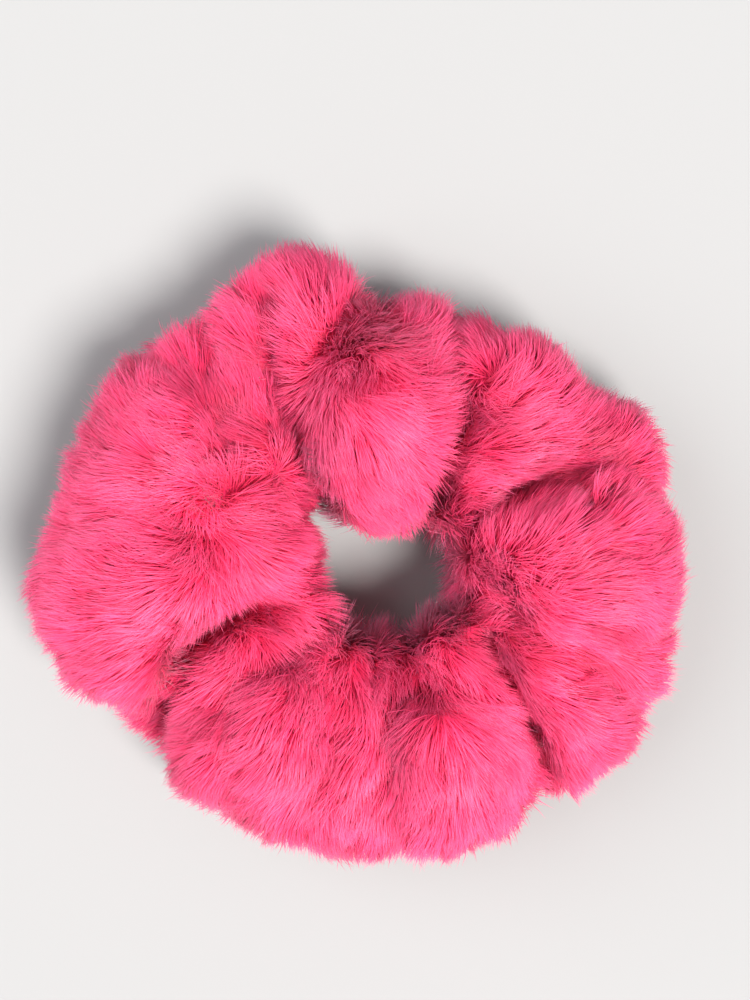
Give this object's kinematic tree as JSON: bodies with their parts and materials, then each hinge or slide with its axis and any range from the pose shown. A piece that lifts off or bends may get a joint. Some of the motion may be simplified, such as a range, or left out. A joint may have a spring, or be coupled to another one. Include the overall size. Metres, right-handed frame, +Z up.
{
  "type": "scrunchie",
  "caption": "Puffy long-pile faux-fur hair scrunchie, a gathered fur tube round a flat braided elastic loop.",
  "frame": {"origin": "centre of the footprint, on the surface that the scrunchie lies on", "axes": "+X along the longest extent, and the way the right part moves as the loop stretches; +Z up, along the axis of the hair hole; +Y away from a viewer in front"},
  "size_m": [0.1328, 0.1229, 0.044],
  "materials": {
    "fur_pile": "long glossy combed pile",
    "knit_backing": "fine matte knit",
    "braided_elastic": "ribbed braid",
    "sewing_thread": "twisted thread"
  },
  "bodies": {
    "left_half": {"fur_pile_left": "fur_pile", "knit_backing_left": "knit_backing", "elastic_inner_end": "braided_elastic", "elastic_outer_end": "braided_elastic", "elastic_join_thread": "sewing_thread", "long_seam_thread_left": "sewing_thread", "closing_seam_thread": "sewing_thread"},
    "right_half": {"fur_pile_right": "fur_pile", "knit_backing_right": "knit_backing", "elastic_middle": "braided_elastic", "long_seam_thread_right": "sewing_thread"}
  },
  "joints": [
    {"name": "stretch", "type": "slide", "parent": "left_half", "child": "right_half", "axis": [1, 0, 0], "range_m": [0, 0.09], "stiffness_N_per_m": 90}
  ]
}
